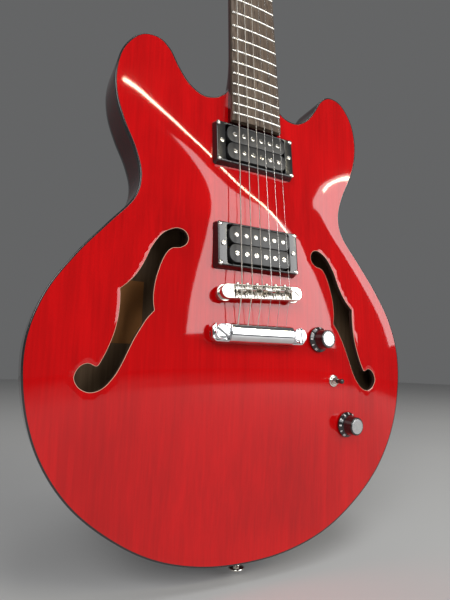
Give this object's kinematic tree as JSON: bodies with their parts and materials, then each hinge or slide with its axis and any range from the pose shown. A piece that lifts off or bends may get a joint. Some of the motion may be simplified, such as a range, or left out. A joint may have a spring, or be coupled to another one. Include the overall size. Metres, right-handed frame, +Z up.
{
  "type": "electric guitar",
  "caption": "Semi-hollow double-cutaway electric guitar with humbucking pickups, tuning machines, post bridge and stop tailpiece.",
  "frame": {"origin": "on the fingerboard's face at the middle of the nut's board side, where a wall yoke holds the neck", "axes": "+X towards the treble side, +Y towards the back, +Z up the body and neck; the body's front faces -Y"},
  "size_m": [0.3984, 0.1401, 1.0671],
  "materials": {
    "red_maple": "gloss lacquer",
    "dark_red_wood": "gloss lacquer",
    "black_trim": "gloss",
    "pale_wood": "bare",
    "rosewood": "oiled",
    "nickel": "polished nickel",
    "chrome_metal": "polished",
    "bone": "satin",
    "steel": "bright",
    "brass_plate": "satin",
    "black_knob": "gloss",
    "wire_cover": "matte",
    "label_paper": "matte paper"
  },
  "bodies": {
    "guitar": {"top_plate": "red_maple", "back_plate": "dark_red_wood", "rim": "dark_red_wood", "edge_binding": "black_trim", "kerfed_lining": "pale_wood", "center_block": "pale_wood", "neck": "dark_red_wood", "headstock_face": "black_trim", "fingerboard": "rosewood", "frets": "nickel", "nut": "bone", "truss_rod": "steel", "truss_rod_cover": "black_trim", "tuner_housings": "nickel", "tuner_bushings": "nickel", "wound_strings": "steel", "plain_strings": "steel", "neck_pickup_ring": "black_trim", "bridge_pickup_ring": "black_trim", "pickup_height_screws": "nickel", "bridge": "nickel", "saddle_screws": "nickel", "bridge_posts": "nickel", "tailpiece": "chrome_metal", "tailpiece_studs": "chrome_metal", "post_bushings": "nickel", "control_pots": "nickel", "switch_body": "nickel", "output_jack": "nickel", "strap_buttons": "nickel", "wood_screws": "nickel", "wiring": "wire_cover", "paper_label": "label_paper"},
    "volume_knob": {"volume_knob": "black_knob"},
    "tone_knob": {"tone_knob": "black_knob"},
    "switch_lever": {"switch_lever": "black_knob"},
    "tuner_button_1": {"tuner_button_1": "nickel"},
    "tuner_post_1": {"tuner_post_1": "nickel"},
    "saddle_1": {"saddle_1": "nickel"},
    "tuner_button_2": {"tuner_button_2": "nickel"},
    "tuner_post_2": {"tuner_post_2": "nickel"},
    "saddle_2": {"saddle_2": "nickel"},
    "tuner_button_3": {"tuner_button_3": "nickel"},
    "tuner_post_3": {"tuner_post_3": "nickel"},
    "saddle_3": {"saddle_3": "nickel"},
    "tuner_button_4": {"tuner_button_4": "nickel"},
    "tuner_post_4": {"tuner_post_4": "nickel"},
    "saddle_4": {"saddle_4": "nickel"},
    "tuner_button_5": {"tuner_button_5": "nickel"},
    "tuner_post_5": {"tuner_post_5": "nickel"},
    "saddle_5": {"saddle_5": "nickel"},
    "tuner_button_6": {"tuner_button_6": "nickel"},
    "tuner_post_6": {"tuner_post_6": "nickel"},
    "saddle_6": {"saddle_6": "nickel"},
    "neck_pickup": {"neck_pickup_base": "brass_plate", "neck_pickup_bobbins": "black_trim", "neck_pickup_poles": "nickel"},
    "bridge_pickup": {"bridge_pickup_base": "brass_plate", "bridge_pickup_bobbins": "black_trim", "bridge_pickup_poles": "nickel"}
  },
  "joints": [
    {"name": "volume_turn", "type": "hinge", "parent": "guitar", "child": "volume_knob", "pos_m": [0.07664, -0.04006, -0.67055], "axis": [0.0803, -0.9968, 0.0064], "range_deg": [-150, 150]},
    {"name": "tone_turn", "type": "hinge", "parent": "guitar", "child": "tone_knob", "pos_m": [0.11561, -0.03511, -0.75706], "axis": [0.0763, -0.9961, -0.0453], "range_deg": [-150, 150]},
    {"name": "switch_tilt", "type": "hinge", "parent": "guitar", "child": "switch_lever", "pos_m": [0.09641, -0.0292, -0.71198], "axis": [0.9962, 0.0868, 0.0016], "range_deg": [-11, 11]},
    {"name": "tuner_1_button", "type": "hinge", "parent": "guitar", "child": "tuner_button_1", "pos_m": [-0.022, 0.03677, 0.03596], "axis": [1, 0, 0], "continuous": true},
    {"name": "tuner_1_post", "type": "hinge", "parent": "guitar", "child": "tuner_post_1", "pos_m": [-0.022, 0.03986, 0.04377], "axis": [0, 0.9298, -0.3681], "continuous": true},
    {"name": "tuner_2_button", "type": "hinge", "parent": "guitar", "child": "tuner_button_2", "pos_m": [-0.0215, 0.05149, 0.07315], "axis": [1, 0, 0], "continuous": true},
    {"name": "tuner_2_post", "type": "hinge", "parent": "guitar", "child": "tuner_post_2", "pos_m": [-0.0215, 0.05459, 0.08096], "axis": [0, 0.9298, -0.3681], "continuous": true},
    {"name": "tuner_3_button", "type": "hinge", "parent": "guitar", "child": "tuner_button_3", "pos_m": [-0.021, 0.06622, 0.11034], "axis": [1, 0, 0], "continuous": true},
    {"name": "tuner_3_post", "type": "hinge", "parent": "guitar", "child": "tuner_post_3", "pos_m": [-0.021, 0.06931, 0.11815], "axis": [0, 0.9298, -0.3681], "continuous": true},
    {"name": "tuner_4_button", "type": "hinge", "parent": "guitar", "child": "tuner_button_4", "pos_m": [0.021, 0.06622, 0.11034], "axis": [1, 0, 0], "continuous": true},
    {"name": "tuner_4_post", "type": "hinge", "parent": "guitar", "child": "tuner_post_4", "pos_m": [0.021, 0.06931, 0.11815], "axis": [0, 0.9298, -0.3681], "continuous": true},
    {"name": "tuner_5_button", "type": "hinge", "parent": "guitar", "child": "tuner_button_5", "pos_m": [0.0215, 0.05149, 0.07315], "axis": [1, 0, 0], "continuous": true},
    {"name": "tuner_5_post", "type": "hinge", "parent": "guitar", "child": "tuner_post_5", "pos_m": [0.0215, 0.05459, 0.08096], "axis": [0, 0.9298, -0.3681], "continuous": true},
    {"name": "tuner_6_button", "type": "hinge", "parent": "guitar", "child": "tuner_button_6", "pos_m": [0.022, 0.03677, 0.03596], "axis": [1, 0, 0], "continuous": true},
    {"name": "tuner_6_post", "type": "hinge", "parent": "guitar", "child": "tuner_post_6", "pos_m": [0.022, 0.03986, 0.04377], "axis": [0, 0.9298, -0.3681], "continuous": true},
    {"name": "neck_pickup_height", "type": "slide", "parent": "guitar", "child": "neck_pickup", "axis": [0, -0.9968, 0.0802], "range_m": [-0.003, 0.0015]},
    {"name": "bridge_pickup_height", "type": "slide", "parent": "guitar", "child": "bridge_pickup", "axis": [0, -0.9968, 0.0802], "range_m": [-0.003, 0.0015]},
    {"name": "saddle_1_slide", "type": "slide", "parent": "guitar", "child": "saddle_1", "axis": [-0.0541, 0.0801, 0.9953], "range_m": [-0.0004, 0.0016]},
    {"name": "saddle_2_slide", "type": "slide", "parent": "guitar", "child": "saddle_2", "axis": [-0.0541, 0.0801, 0.9953], "range_m": [-0.0004, 0.0016]},
    {"name": "saddle_3_slide", "type": "slide", "parent": "guitar", "child": "saddle_3", "axis": [-0.0541, 0.0801, 0.9953], "range_m": [-0.0004, 0.0016]},
    {"name": "saddle_4_slide", "type": "slide", "parent": "guitar", "child": "saddle_4", "axis": [-0.0541, 0.0801, 0.9953], "range_m": [-0.0004, 0.0016]},
    {"name": "saddle_5_slide", "type": "slide", "parent": "guitar", "child": "saddle_5", "axis": [-0.0541, 0.0801, 0.9953], "range_m": [-0.0004, 0.0016]},
    {"name": "saddle_6_slide", "type": "slide", "parent": "guitar", "child": "saddle_6", "axis": [-0.0541, 0.0801, 0.9953], "range_m": [-0.0004, 0.0016]}
  ],
  "couplings": [
    {"joint": "tuner_1_post", "follows": "tuner_1_button", "ratio": 0.071429},
    {"joint": "tuner_2_post", "follows": "tuner_2_button", "ratio": 0.071429},
    {"joint": "tuner_3_post", "follows": "tuner_3_button", "ratio": 0.071429},
    {"joint": "tuner_4_post", "follows": "tuner_4_button", "ratio": 0.071429},
    {"joint": "tuner_5_post", "follows": "tuner_5_button", "ratio": 0.071429},
    {"joint": "tuner_6_post", "follows": "tuner_6_button", "ratio": 0.071429}
  ]
}
